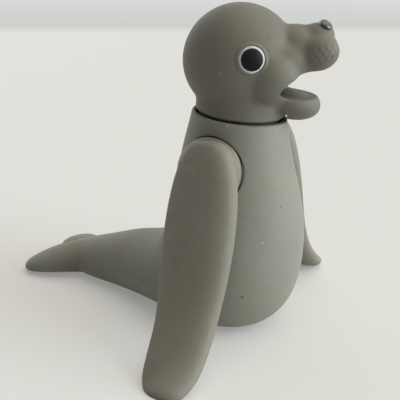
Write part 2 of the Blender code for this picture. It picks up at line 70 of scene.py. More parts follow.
def makeCamera():
    place = cameraPlace
    turn, lift = math.radians(place["azimuth"]), math.radians(place["elevation"])
    pivot = Vector(place["pivot"]) * mm
    back = Vector((math.sin(turn) * math.cos(lift), -math.cos(turn) * math.cos(lift), math.sin(lift)))
    right = Vector((math.cos(turn), math.sin(turn), 0))
    eye = pivot + back * place["distance"] * mm
    aim = pivot + right * place["aimRight"] * mm + Vector((0, 0, place["aimUp"])) * mm
    camera = bpy.data.objects.new("camera", bpy.data.cameras.new("camera"))
    bpy.context.scene.collection.objects.link(camera)
    camera.location = eye
    facing = (aim - eye).to_track_quat("-Z", "Y").to_matrix()
    camera.rotation_euler = (facing @ Matrix.Rotation(math.radians(place["roll"]), 3, "Z")).to_euler()
    camera.data.sensor_width = place["filmWidth"]
    camera.data.lens = place["filmWidth"] * place["focalPixels"] / place["framePixels"]
    camera.data.clip_start = place["nearest"]
    bpy.context.scene.camera = camera


makeCamera()
print("camera placed")


# Mesh tools

def meshFrom(shape, name="shape"):
    mesh = bpy.data.meshes.new(name)
    shape.to_mesh(mesh)
    shape.free()
    return mesh


def modified(mesh, *modifiers):
    # the mesh after these modifiers, as a new mesh
    holder = bpy.data.objects.new("holder", mesh)
    bpy.context.scene.collection.objects.link(holder)
    for kind, settings in modifiers:
        modifier = holder.modifiers.new(kind.title(), kind)
        for key, value in settings.items():
            setattr(modifier, key, value)
    graph = bpy.context.evaluated_depsgraph_get()
    made = bpy.data.meshes.new_from_object(holder.evaluated_get(graph))
    bpy.data.objects.remove(holder)
    return made


def joined(meshes):
    whole = bmesh.new()
    for mesh in meshes:
        whole.from_mesh(mesh)
    return meshFrom(whole, "joined")


def blended(meshes, voxel, smoothing):
    # one soft skin round all the pieces, as clay is blended
    return modified(
        joined(meshes),
        ("REMESH", {"mode": "VOXEL", "voxel_size": voxel}),
        ("SMOOTH", {"factor": 0.5, "iterations": smoothing}),
    )


def cut(mesh, tools, operation="DIFFERENCE"):
    # exact Booleans, one tool after another
    for tool in tools:
        helper = bpy.data.objects.new("tool", tool)
        bpy.context.scene.collection.objects.link(helper)
        mesh = modified(mesh, ("BOOLEAN", {"operation": operation, "object": helper, "solver": "EXACT"}))
        bpy.data.objects.remove(helper)
    return mesh


def placed(mesh, place):
    mesh.transform(place)
    return mesh


ringPoints = 12
ringGrowth = 3 / (2 + math.cos(2 * math.pi / ringPoints))   # makes up for what subdivision shrinks


def ringPlace(centre, tilt, halfDepth, halfWidth):
    # a circle in the XY plane becomes an ellipse across the spine, tilted nose down
    size = Matrix.Diagonal((halfDepth * ringGrowth, halfWidth * ringGrowth, 1, 1))
    return Matrix.Translation(centre) @ Matrix.Rotation(tilt, 4, "Y") @ size


def loft(rings, levels=3, fullness=0.0, leading=0.0):
    # circles bridged one to the next, closed at both ends and rounded by subdivision
    # fullness pushes a ring's corners out, for a section between an ellipse and a rounded box
    # leading makes a ring thicker toward its +Y edge and thinner toward the other
    cage = bmesh.new()
    loops = []
    for place in rings:
        circle = bmesh.ops.create_circle(cage, segments=ringPoints, radius=1)
        for vert in circle["verts"]:
            vert.co *= 1 + fullness * abs(2 * vert.co.x * vert.co.y)
            vert.co.x *= 1 + leading * vert.co.y
        bmesh.ops.transform(cage, matrix=place, verts=circle["verts"])
        loops.append(list({edge for vert in circle["verts"] for edge in vert.link_edges}))
    for first, second in zip(loops, loops[1:]):
        bmesh.ops.bridge_loops(cage, edges=first + second)
    for end in (loops[0], loops[-1]):
        bmesh.ops.contextual_create(cage, geom=end)
    bmesh.ops.recalc_face_normals(cage, faces=cage.faces)
    return modified(meshFrom(cage), ("SUBSURF", {"levels": levels, "render_levels": levels}))


def ellipsoid(centre, radii, pitch=0, segments=48):
    # pitch lifts the front end
    ball = bmesh.new()
    bmesh.ops.create_uvsphere(ball, u_segments=segments, v_segments=segments // 2, radius=1)
    place = Matrix.Translation(centre) @ Matrix.Rotation(-pitch, 4, "Y") @ Matrix.Diagonal((*radii, 1))
    bmesh.ops.transform(ball, matrix=place, verts=ball.verts)
    return meshFrom(ball)


def turned(profile, place=level, steps=96):
    # a closed solid of revolution from (radius, height) points down its outside
    line = bmesh.new()
    points = [line.verts.new((radius, 0, height)) for radius, height in profile]
    for first, second in zip(points, points[1:]):
        line.edges.new((first, second))
    bmesh.ops.spin(
        line, geom=line.verts[:] + line.edges[:], cent=(0, 0, 0), axis=(0, 0, 1),
        angle=2 * math.pi, steps=steps, use_merge=True,
    )
    bmesh.ops.holes_fill(line, edges=line.edges, sides=0)
    bmesh.ops.recalc_face_normals(line, faces=line.faces)
    bmesh.ops.transform(line, matrix=place, verts=line.verts)
    return meshFrom(line)


def drum(radius, low, high, place=level):
    return turned([(radius, high), (radius, low)], place)


def slab(low, high):
    cube = bmesh.new()
    middle = (Vector(low) + Vector(high)) / 2
    size = Vector(high) - Vector(low)
    bmesh.ops.create_cube(cube, size=1, matrix=Matrix.Translation(middle) @ Matrix.Diagonal((*size, 1)))
    return meshFrom(cube)


def underFloor(height=0):
    return slab((-beyond, -beyond, -beyond), (beyond, beyond, height))


def arc(radius, height, size, start, end, steps=6):
    # profile points round a corner whose middle is at (radius, height), angles in degrees
    points = []
    for step in range(steps + 1):
        angle = math.radians(start + (end - start) * step / steps)
        points.append((radius + size * math.cos(angle), height + size * math.sin(angle)))
    return points


def readPoints(mesh):
    points = np.empty(len(mesh.vertices) * 3)
    mesh.vertices.foreach_get("co", points)
    normals = np.empty(len(mesh.vertices) * 3)
    mesh.vertices.foreach_get("normal", normals)
    return points.reshape(-1, 3), normals.reshape(-1, 3)


def pushed(mesh, heights):
    # every point moves out along its normal by its height
    points, normals = readPoints(mesh)
    mesh.vertices.foreach_set("co", (points + normals * heights[:, None]).ravel())
    mesh.update()
    return mesh


def distanceToPath(points, path):
    path = np.array([tuple(point) for point in path])
    nearest = np.full(len(points), np.inf)
    for start, end in zip(path, path[1:]):
        run = end - start
        share = np.clip((points - start) @ run / (run @ run), 0, 1)
        away = points - (start + share[:, None] * run)
        nearest = np.minimum(nearest, np.linalg.norm(away, axis=1))
    return nearest


def falloff(distance, reach):
    return np.clip(1 - (distance / reach) ** 2, 0, 1) ** 2


def addPiece(name, mesh, body, materials):
    mesh.materials.clear()
    for material in materials:
        mesh.materials.append(material)
    mesh.shade_smooth()
    mesh.set_sharp_from_angle(angle=math.radians(creaseAngle))
    piece = bpy.data.objects.new(name, mesh)
    bpy.context.scene.collection.objects.link(piece)
    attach(piece, body)
    return piece


# Joint frames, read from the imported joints

def jointPlace(name):
    joint = next(each for each in frame["joints"] if each["name"] == name)
    return Vector(joint["pos_m"]), Vector(joint["axis"]).normalized()


def neckFrame():
    # Z runs up the neck from the middle of the collar's rim
    place, axis = jointPlace("head_turn")
    across = Vector((0, 1, 0))
    return Matrix.Translation(place) @ Matrix((across.cross(axis), across, axis)).transposed().to_4x4()


def shoulderFrame(side):
    # Z points out of the body along the shoulder's axis, and X runs down the flipper
    place, axis = jointPlace("flipper_swing_left" if side > 0 else "flipper_swing_right")
    out = axis if axis.y * side > 0 else -axis
    across = Vector((-side, 0, 0))
    down = across.cross(out)
    return Matrix.Translation(place) @ Matrix((down, across, out)).transposed().to_4x4()


# Materials

def addGroup(name, inputs, outputs):
    tree = bpy.data.node_groups.new(name, "ShaderNodeTree")
    for label, kind, value in inputs:
        socket = tree.interface.new_socket(name=label, in_out="INPUT", socket_type="NodeSocket" + kind)
        socket.default_value = value
    for label, kind in outputs:
        tree.interface.new_socket(name=label, in_out="OUTPUT", socket_type="NodeSocket" + kind)
    return tree, tree.nodes.new("NodeGroupInput"), tree.nodes.new("NodeGroupOutput")


def addNode(tree, kind, values=None, **settings):
    node = tree.nodes.new("ShaderNode" + kind)
    for key, value in settings.items():
        setattr(node, key, value)
    for label, value in (values or {}).items():
        if isinstance(value, bpy.types.NodeSocket):
            tree.links.new(value, node.inputs[label])
        else:
            node.inputs[label].default_value = value
    return node


def maths(tree, operation, first, second=0.0, clamp=False):
    node = addNode(tree, "Math", {0: first, 1: second}, operation=operation, use_clamp=clamp)
    return node.outputs[0]


def spread(tree, value, low, high, toLow=0.0, toHigh=1.0):
    node = addNode(tree, "MapRange", {0: value, 1: low, 2: high, 3: toLow, 4: toHigh})
    return node.outputs[0]


def mixed(tree, factor, first, second):
    node = addNode(tree, "Mix", {0: factor, 6: first, 7: second}, data_type="RGBA")
    return node.outputs[2]


def seenRays(tree):
    # camera rays, and the rays of reflections and clear parts, which show the same background
    rays = addNode(tree, "LightPath").outputs
    seen = maths(tree, "MAXIMUM", rays["Is Camera Ray"], rays["Is Glossy Ray"])
    return maths(tree, "MAXIMUM", seen, rays["Is Transmission Ray"])


vinylFinish = {
    "driftRange": (0.38, 0.66),     # of the slow noise, from the plain tone to the warm one
    "driftShare": 0.75,
    "cloudScale": 420,              # soft mottling
    "cloudShade": 0.045,            # lighter and darker by this share
    "grainScale": 2600,             # the finest grain
    "grainShade": 0.035,
    "speckScale": 85,
    "speckSize": (0.02, 0.035),
    "speckShare": 0.16,             # of the cells hold a dark speck
    "speckStrength": 0.5,
    "speckColour": (0.05, 0.045, 0.04),
    "shadeAndGrimeReach": 2.2,              # mm
    "shadeAndGrimeRange": (0.35, 0.95),     # of open sky, from all the painted shade and grime to none
    "shadeAndGrimeColour": (0.045, 0.04, 0.034),
    "roughness": (0.5, 0.6),
    "shadeAndGrimeRoughness": 0.2,          # added where there is painted shade and grime
    "bumpStrength": 0.35,
    "bumpDepth": 0.06,              # mm
    "bumpMix": (0.6, 0.4),          # of mottling and grain
    "markCore": 0.35,               # share of a mark's radius that is at full strength
    "gloss": 0.26,
}


def vinylGroup():
    # matt soft vinyl: slow drifts of tone, fine grain, rare specks, and painted shade with grime in hollows
    finish = vinylFinish
    tree, source, sink = addGroup(
        "vinylSurface",
        [
            ("Tone", "Color", (0.2, 0.2, 0.17, 1)),
            ("Warm Tone", "Color", (0.19, 0.17, 0.15, 1)),
            ("Shade And Grime", "Float", 0.5),
            ("Drift Scale", "Float", 40.0),
        ],
        [("Color", "Color"), ("Roughness", "Float"), ("Height", "Float")],
    )
    place = addNode(tree, "TexCoord").outputs["Object"]
    drift = addNode(tree, "TexNoise", {
        "Vector": place, "Scale": source.outputs["Drift Scale"], "Detail": 3.0, "Roughness": 0.55})
    cloud = addNode(tree, "TexNoise", {
        "Vector": place, "Scale": finish["cloudScale"], "Detail": 4.0, "Roughness": 0.6})
    grain = addNode(tree, "TexNoise", {
        "Vector": place, "Scale": finish["grainScale"], "Detail": 2.0, "Roughness": 0.5})
    colour = mixed(
        tree, spread(tree, drift.outputs[0], *finish["driftRange"], 0.0, finish["driftShare"]),
        source.outputs["Tone"], source.outputs["Warm Tone"])
    cloudShade, grainShade = finish["cloudShade"], finish["grainShade"]
    shade = maths(tree, "ADD", spread(tree, cloud.outputs[0], 0.3, 0.7, 1 - cloudShade, 1 + cloudShade),
                  spread(tree, grain.outputs[0], 0.3, 0.7, -grainShade, grainShade))
    shades = addNode(tree, "CombineXYZ", {0: shade, 1: shade, 2: shade}).outputs[0]
    colour = addNode(tree, "VectorMath", {0: colour, 1: shades}, operation="MULTIPLY").outputs[0]
    # rare dark specks, one in some of the cells
    cells = addNode(tree, "TexVoronoi", {"Vector": place, "Scale": finish["speckScale"], "Randomness": 1.0})
    picked = addNode(tree, "SeparateColor", {0: cells.outputs["Color"]})
    speck = maths(tree, "MULTIPLY", spread(tree, cells.outputs["Distance"], *finish["speckSize"], 1.0, 0.0),
                  maths(tree, "GREATER_THAN", picked.outputs[0], 1 - finish["speckShare"]))
    colour = mixed(tree, maths(tree, "MULTIPLY", speck, finish["speckStrength"]), colour,
                   (*finish["speckColour"], 1))
    # painted shade: the colour darkens in creases, gaps and hollows by ambient occlusion, along with grime
    hollow = addNode(tree, "AmbientOcclusion", {"Distance": finish["shadeAndGrimeReach"] * mm}, samples=8)
    shadeAndGrime = maths(tree, "MULTIPLY", spread(tree, hollow.outputs["AO"], *finish["shadeAndGrimeRange"], 1.0, 0.0),
                  source.outputs["Shade And Grime"], clamp=True)
    colour = mixed(tree, shadeAndGrime, colour, (*finish["shadeAndGrimeColour"], 1))
    rough = maths(tree, "ADD", spread(tree, cloud.outputs[0], 0.3, 0.7, *finish["roughness"]),
                  maths(tree, "MULTIPLY", shadeAndGrime, finish["shadeAndGrimeRoughness"]))
    cloudPart, grainPart = finish["bumpMix"]
    height = maths(tree, "ADD", maths(tree, "MULTIPLY", cloud.outputs[0], cloudPart),
                   maths(tree, "MULTIPLY", grain.outputs[0], grainPart))
    tree.links.new(colour, sink.inputs["Color"])
    tree.links.new(rough, sink.inputs["Roughness"])
    tree.links.new(height, sink.inputs["Height"])
    return tree


vinylSurface = vinylGroup()


def newMaterial(name):
    material = bpy.data.materials.new(name)
    material.use_nodes = True
    return material, material.node_tree, material.node_tree.nodes["Principled BSDF"]


def vinylMaterial(name, tone, warmTone, shadeAndGrime, driftScale, marks):
    material, tree, shader = newMaterial(name)
    surface = addNode(tree, "Group", node_tree=vinylSurface)
    surface.inputs["Tone"].default_value = (*tone, 1)
    surface.inputs["Warm Tone"].default_value = (*warmTone, 1)
    surface.inputs["Shade And Grime"].default_value = shadeAndGrime
    surface.inputs["Drift Scale"].default_value = driftScale
    bump = addNode(tree, "Bump", {
        "Strength": vinylFinish["bumpStrength"], "Distance": vinylFinish["bumpDepth"] * mm,
        "Height": surface.outputs["Height"]})
    colour = surface.outputs["Color"]
    place = addNode(tree, "TexCoord").outputs["Object"]
    # specks of wear, and soft patches of painted shade, laid over the vinyl's colour
    for middle, radius, strength, tint in marks:
        middle = tuple(part * mm for part in middle)
        away = addNode(tree, "VectorMath", {0: place, 1: middle}, operation="DISTANCE").outputs["Value"]
        core = vinylFinish["markCore"] * radius
        share = spread(tree, away, core * mm, radius * mm, strength, 0.0)
        colour = mixed(tree, share, colour, (*markTints[tint], 1))
    tree.links.new(colour, shader.inputs["Base Color"])
    tree.links.new(surface.outputs["Roughness"], shader.inputs["Roughness"])
    tree.links.new(bump.outputs["Normal"], shader.inputs["Normal"])
    shader.inputs["Specular IOR Level"].default_value = vinylFinish["gloss"]
    return material


vinylTones = {
    "body": {
        "tone": (0.246, 0.252, 0.211), "warmTone": (0.234, 0.226, 0.186), "shadeAndGrime": 0.8, "driftScale": 38},
    # the head's tone is the same vinyl made darker all over: painted shade
    "head": {
        "tone": (0.16, 0.155, 0.123), "warmTone": (0.146, 0.134, 0.107), "shadeAndGrime": 0.75, "driftScale": 52},
    "flipper": {
        "tone": (0.226, 0.219, 0.18), "warmTone": (0.206, 0.188, 0.155), "shadeAndGrime": 0.8, "driftScale": 34},
}

# specks and scuffs of wear, and soft patches of painted shade: place and radius in mm, strength, tint
markTints = {"dark": (0.04, 0.035, 0.03), "warmShade": (0.11, 0.085, 0.065), "pale": (0.5, 0.5, 0.46)}
wearAndShade = {
    "body": [
        ((25.7, -16.8, 39.9), 0.5, 0.6, "pale"),
        ((21.4, -21.9, 20.1), 0.7, 0.8, "dark"),
        ((28.2, -9.0, 51.2), 0.5, 0.6, "dark"),
        ((-20.8, -20.5, 14.2), 0.7, 0.6, "dark"),
        ((-19.6, -21.0, 14.3), 0.6, 0.6, "dark"),
        # a broad patch of painted warm shade
        ((-37.6, -11.7, 19.6), 7.0, 0.12, "warmShade"),
        ((9.6, -16.6, 78.6), 0.5, 0.7, "pale"),
    ],
    "head": [
        # patches of painted shade and painted warm shade, a pale speck, then a broad patch of painted warm
        # shade
        ((19.6, -9.7, 108.1), 1.9, 0.16, "dark"),
        ((22.5, -8.3, 104.1), 2.2, 0.12, "warmShade"),
        ((8.0, -19.8, 96.6), 0.9, 0.14, "pale"),
        ((-2.0, -15.0, 87.3), 9.0, 0.15, "warmShade"),
    ],
    "flipper": [
        # a patch of painted warm shade, two pale specks, then patches of painted warm shade and painted
        # shade
        ((2.8, -37.1, 34.8), 3.4, 0.14, "warmShade"),
        ((18.1, -30.2, 55.7), 0.8, 0.12, "pale"),
        ((-2.0, -34.0, 42.4), 1.2, 0.1, "pale"),
        ((6.5, -57.8, 4.2), 6.0, 0.22, "warmShade"),
        ((4.5, -48.0, 18.0), 2.6, 0.1, "dark"),
    ],
}
vinyl = {
    name: vinylMaterial(name + "Vinyl", marks=wearAndShade[name], **tones)
    for name, tones in vinylTones.items()
}


paintFinish = {
    "streakScale": 700,
    "darkest": 0.7,             # share of the colour
    "roughness": (0.85, 1.2),   # shares of the paint's own
    "bumpStrength": 0.15,
    "bumpDepth": 0.05,          # mm
    "coatRoughness": 0.15,
}


def paintMaterial(name, colour, roughness, gloss, coat):
    # gloss paint with a slight unevenness from the brush
    finish = paintFinish
    material, tree, shader = newMaterial(name)
    place = addNode(tree, "TexCoord").outputs["Object"]
    noise = addNode(tree, "TexNoise", {"Vector": place, "Scale": finish["streakScale"], "Detail": 3.0})
    darker = tuple(finish["darkest"] * part for part in colour)
    tint = mixed(tree, spread(tree, noise.outputs[0], 0.35, 0.65), (*colour, 1), (*darker, 1))
    tree.links.new(tint, shader.inputs["Base Color"])
    smooth, rough = (roughness * share for share in finish["roughness"])
    tree.links.new(spread(tree, noise.outputs[0], 0.3, 0.7, smooth, rough), shader.inputs["Roughness"])
    bump = addNode(tree, "Bump", {
        "Strength": finish["bumpStrength"], "Distance": finish["bumpDepth"] * mm,
        "Height": noise.outputs[0]})
    tree.links.new(bump.outputs["Normal"], shader.inputs["Normal"])
    shader.inputs["Coat Weight"].default_value = coat
    shader.inputs["Coat Roughness"].default_value = finish["coatRoughness"]
    shader.inputs["Specular IOR Level"].default_value = gloss
    return material


paints = {
    # colour, roughness, gloss, coat
    "black": paintMaterial("blackPaint", (0.006, 0.006, 0.007), 0.25, 0.5, 0.5),
    "eye": paintMaterial("eyePaint", (0.005, 0.005, 0.005), 0.4, 0.15, 0.0),
    "rim": paintMaterial("rimPaint", (0.62, 0.64, 0.63), 0.45, 0.3, 0.0),
}
print("materials made")


# Body

bodySizes = {
    # mm and degrees
    "wall": 2.0,
    "voxel": 0.6,               # of the skin that blends the forms
    "smoothing": 22,            # rounds
    "collarRadius": 16.6,
    "collarLip": 1.2,
    "collarDepth": 4.6,
    "bowlChamfer": 0.8,
    "lipRound": 0.45,
    "lipClear": (0.35, 0.9, 0.6),   # how far the cutter passes beside, outside and above the lip
    "shelf": 2.0,
    "shelfHole": 9.55,
    "pocketRadius": 12.35,
    "pocketDepth": 3.8,
    "pocketHole": 4.95,
    "pocketReach": 36,          # how far out the cuts for the shoulder go
    "tailLength": 65,
    "hindLength": 23,
    "hindSpread": 30,
    "hindApart": 4,
    "hindHalfWidth": 8.2,
    "hindHalfThickness": 2.6,
    # middle's X and Z, tilt in degrees, half depth and half width
    "stations": [
        (6.5, 85.5, 4, 16.6, 16.6),
        (6.0, 79.5, 4, 16.6, 16.6),
        (6.2, 62.5, 4.9, 21.1, 20.0),
        (8.0, 48.0, 4.8, 24.2, 22.8),
        (7.8, 33.0, 9.9, 26.1, 26.8),
        (5.0, 19.2, 21.5, 27.9, 28.2),
        (-3.2, 12.5, 32.2, 26.3, 26.0),
        (-14.5, 11.2, 38.2, 22.3, 22.0),
        (-29.0, 11.2, 51.9, 16.2, 17.2),
        (-42.0, 10.2, 70.0, 11.7, 13.2),
        (-55.5, 8.1, 80.4, 9.0, 11.2),
        (-65.0, 6.8, 88.0, 7.3, 9.6),
    ],
    # share of the length, height, share of the half width and of the half thickness
    "hindStations": [
        (-0.45, 8.2, 0.74, 3.0),
        (-0.10, 7.6, 0.86, 2.8),
        (0.25, 6.6, 1.0, 2.35),
        (0.58, 4.9, 0.96, 1.75),
        (0.84, 3.2, 0.70, 1.15),
        (1.0, 2.2, 0.34, 0.6),
    ],
}


def torsoRings(inset=0.0):
    return [
        ringPlace(Vector((x, 0, z)) * mm, math.radians(tilt), (depth - inset) * mm, (width - inset) * mm)
        for x, z, tilt, depth, width in bodySizes["stations"]
    ]


def hindFlipper(side):
    # a flat fan that widens from the end of the tail and rests on the table
    sizes = bodySizes
    root = Vector((-sizes["tailLength"], side * sizes["hindApart"], 0)) * mm
    turn = Matrix.Rotation(-side * math.radians(sizes["hindSpread"]), 4, "Z")
    upright = Matrix.Rotation(math.radians(90), 4, "Y")
    rings = []
    for share, height, width, thickness in sizes["hindStations"]:
        along = Matrix.Translation(Vector((-share * sizes["hindLength"], 0, height)) * mm)
        size = Matrix.Diagonal((
            sizes["hindHalfThickness"] * thickness * ringGrowth * mm,
            sizes["hindHalfWidth"] * width * ringGrowth * mm, 1, 1))
        rings.append(Matrix.Translation(root) @ turn @ along @ upright @ size)
    return loft(rings)


def collarCutter(neck):
    # all above the rim, with the lip rounded on both sides, and the bowl and hole that the head sits in
    sizes = bodySizes
    rim, curve, chamfer = sizes["collarRadius"], sizes["lipRound"], sizes["bowlChamfer"]
    bore, floor, hole = rim - sizes["collarLip"], -sizes["collarDepth"], sizes["shelfHole"]
    beside, outside, above = sizes["lipClear"]
    far = beyond / mm
    profile = [(far, far), (far, above), (rim + outside, above), (rim + beside, -curve)]
    profile += arc(rim - curve + 0.05, -curve, curve, 20, 90)
    profile += arc(bore + curve, -curve, curve, 90, 180)
    profile += [(bore, floor + chamfer), (bore - chamfer, floor)]
    profile += [(hole, floor), (hole, floor - 3 * sizes["shelf"])]
    return turned([(radius * mm, height * mm) for radius, height in profile], neck)


def makeBody():
    sizes = bodySizes
    neck = neckFrame()
    forms = [loft(torsoRings()), hindFlipper(1), hindFlipper(-1)]
    skin = blended(forms, sizes["voxel"] * mm, sizes["smoothing"])
    hollow = loft(torsoRings(sizes["wall"])[:-2], levels=2)     # ends before the tail does
    kept = [drum(beyond, (-sizes["collarDepth"] - sizes["shelf"]) * mm, beyond, neck),
            underFloor(sizes["wall"] * mm)]
    cuts = [underFloor(), collarCutter(neck)]
    for side in (1, -1):
        shoulder = shoulderFrame(side)
        pocket, depth = sizes["pocketRadius"], sizes["pocketDepth"]
        outer = sizes["pocketReach"] * mm
        kept.append(drum((pocket + sizes["wall"]) * mm, -(depth + sizes["wall"]) * mm, outer, shoulder))
        cuts.append(drum(pocket * mm, -depth * mm, outer, shoulder))
        cuts.append(drum(sizes["pocketHole"] * mm, -(depth + 2 * sizes["wall"]) * mm, outer, shoulder))
    cuts.append(cut(hollow, kept))
    body = addPiece("bodyMoulding", cut(skin, cuts), "body", [vinyl["body"]])
    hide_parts("body")


makeBody()
print("body made")


# Front flippers

flipperSizes = {
    # mm and degrees
    "wall": 2.0,
    "voxel": 0.42,
    "smoothing": 26,
    "length": 79.4,
    "halfWidth": 13.2,
    "halfThickness": 4.9,
    "clearance": 1.1,
    "fullness": 0.05,           # how much squarer than an ellipse the section is
    "leading": 0.34,            # how much thicker the front edge is than the middle
    "lean": 4.8,
    "handForward": {1: 2.4, -1: 0},     # the left hand rests a little further forward
    "bendRise": 2.6,            # how late along the flipper the bend comes
    "handHalfWidth": 10.4,
    "handHalfThickness": 3.3,
    "bendSteps": 24,
    "rootRadius": 12.0,
    "rootSide": 0.3,            # how far the root's rim stands out before its dome begins
    "domeCurve": 1.8,
    "seat": -3.45,              # the sunk root's inner face, from the shoulder's plane
    "seatFloor": 1.4,
    "spigotRadius": 4.6,
    "spigotEnd": -6.15,
    "flangeRadius": 6.0,
    "flangeThickness": 1.6,
    "flangeChamfer": 0.8,
    "ventRadius": 2.4,
    "ventFoot": -20,
    "rootFoot": -10,            # all of the root below its seat goes, down to here
    "seamHeight": 0.14,         # the mould's parting line stands up along the flipper's edges
    "seamReach": 0.75,
}


def flipperPath(along, wholeBend):
    # straight at the shoulder, then bending further out all the way to the hand
    sizes = flipperSizes
    steps = sizes["bendSteps"]
    reach = max(along, 0)
    down, out, bend = min(along, 0), sizes["clearance"] + sizes["halfThickness"], 0
    for step in range(steps):
        share = (step + 0.5) / steps * reach / sizes["length"]
        bend = wholeBend * share ** sizes["bendRise"]
        down += math.cos(bend) * reach / steps
        out += math.sin(bend) * reach / steps
    return down, out, bend


def flipperBend():
    # the bend at which the hand's tip just comes down to the table, found by halving the range
    low, high = 0.0, math.radians(150)
    for _ in range(40):
        bend = 0.5 * (low + high)
        down, out, _ = flipperPath(flipperSizes["length"], bend)
        tip = shoulderFrame(1) @ (Vector((down, 0, out)) * mm)
        if tip.z < 0:
            low = bend
        else:
            high = bend
    return bend


def flipperStations():
    # distance down the flipper, half width, half thickness and how far forward the middle lies
    sizes = flipperSizes
    length, wide, thick = sizes["length"], sizes["halfWidth"], sizes["halfThickness"]
    root, hand, handThick = sizes["rootRadius"], sizes["handHalfWidth"], sizes["handHalfThickness"]
    return [
        (-0.9 * root, 0.32 * wide, 0.5 * thick, 2.8),
        (-0.74 * root, 0.56 * wide, 0.78 * thick, 2.8),
        (-0.34 * root, 0.76 * wide, 0.96 * thick, 2.6),
        (0.06 * length, 0.92 * wide, thick, 2.0),
        (0.24 * length, 1.02 * wide, thick, 1.2),
        (0.46 * length, 0.96 * wide, 0.95 * thick, 0.6),
        (0.66 * length, 0.44 * wide + 0.5 * hand, 0.8 * thick, 1.2),
        (0.84 * length, 1.04 * hand, handThick, 1.6),
        (0.95 * length, 0.8 * hand, 0.8 * handThick, 2.4),
        (length, 0.44 * hand, 0.5 * handThick, 3.0),
    ]


def handShift(side, along):
    # the hand's own way forward, which fades out toward the shoulder
    return flipperSizes["handForward"][side] * max(along / flipperSizes["length"], 0) ** 3


def flipperRings(side, inset=0.0):
    rings = []
    wholeBend = flipperBend()
    for along, width, thickness, forward in flipperStations():
        down, out, bend = flipperPath(along, wholeBend)
        size = Matrix.Diagonal((
            (thickness - inset) * ringGrowth * mm, (width - inset) * ringGrowth * mm, 1, 1))
        turn = Matrix.Rotation(math.radians(90) - bend, 4, "Y")
        forward += handShift(side, along)
        rings.append(Matrix.Translation(Vector((down, -side * forward, out)) * mm) @ turn @ size)
    return rings


def shoulderDome():
    sizes = flipperSizes
    root, seat, sideHeight = sizes["rootRadius"], sizes["seat"], sizes["rootSide"]
    rise = sizes["clearance"] + 2 * sizes["halfThickness"] - sideHeight
    profile = [(root, seat + 1), (root, sideHeight)]
    steps = 24
    for step in range(1, steps):
        share = 1 - step / steps
        profile.append((root * share, sideHeight + rise * (1 - share ** sizes["domeCurve"])))
    return turned([(radius * mm, height * mm) for radius, height in reversed(profile)])


def flipperPlug():
    # the sunk part of the root, the spigot and the flange behind the body's wall
    sizes = flipperSizes
    root, seat = sizes["rootRadius"], sizes["seat"]
    spigot, end, flange = sizes["spigotRadius"], sizes["spigotEnd"], sizes["flangeRadius"]
    profile = [
        (root - 1, seat + 2), (root - 1, seat + 1), (root, seat + 1), (root, seat), (spigot, seat),
        (spigot, end), (flange, end), (flange - sizes["flangeChamfer"], end - sizes["flangeThickness"]),
    ]
    return turned([(radius * mm, height * mm) for radius, height in profile])


def edgePath(side, edge, lean):
    # down one edge of the flipper, where the two halves of the mould met
    path = []
    wholeBend = flipperBend()
    for along, width, _, forward in flipperStations()[4:]:
        down, out, _ = flipperPath(along, wholeBend)
        forward += handShift(side, along)
        path.append(lean @ (Vector((down, edge * width - side * forward, out)) * mm))
    return path


def makeFlipper(side, name):
    sizes = flipperSizes
    shoulder = shoulderFrame(side)
    lean = Matrix.Rotation(-side * math.radians(sizes["lean"]), 4, "Z")
    blade = loft(flipperRings(side), fullness=sizes["fullness"], leading=-side * sizes["leading"])
    skin = blended([placed(blade, lean), shoulderDome()], sizes["voxel"] * mm, sizes["smoothing"])
    points, _ = readPoints(skin)
    for edge in (1, -1):
        away = distanceToPath(points, edgePath(side, edge, lean))
        pushed(skin, sizes["seamHeight"] * mm * falloff(away, sizes["seamReach"] * mm))
    under = (sizes["seat"] + sizes["seatFloor"]) * mm
    hollow = placed(loft(flipperRings(side, sizes["wall"])[1:6], levels=2), lean)
    vent = drum(sizes["ventRadius"] * mm, sizes["ventFoot"] * mm, sizes["halfThickness"] * mm)
    skin = cut(skin, [drum(2 * sizes["rootRadius"] * mm, sizes["rootFoot"] * mm, under)])
    skin = cut(skin, [flipperPlug()], "UNION")
    skin = cut(skin, [hollow, vent])
    skin = cut(placed(skin, shoulder), [underFloor()])
    flipper = addPiece(name + "Moulding", skin, name, [vinyl["flipper"]])
    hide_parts(name)


makeFlipper(1, "front_flipper_left")
makeFlipper(-1, "front_flipper_right")
print("flippers made")


# Head, worked out in the skull's frame: X runs out along the lifted muzzle from the cranium's middle

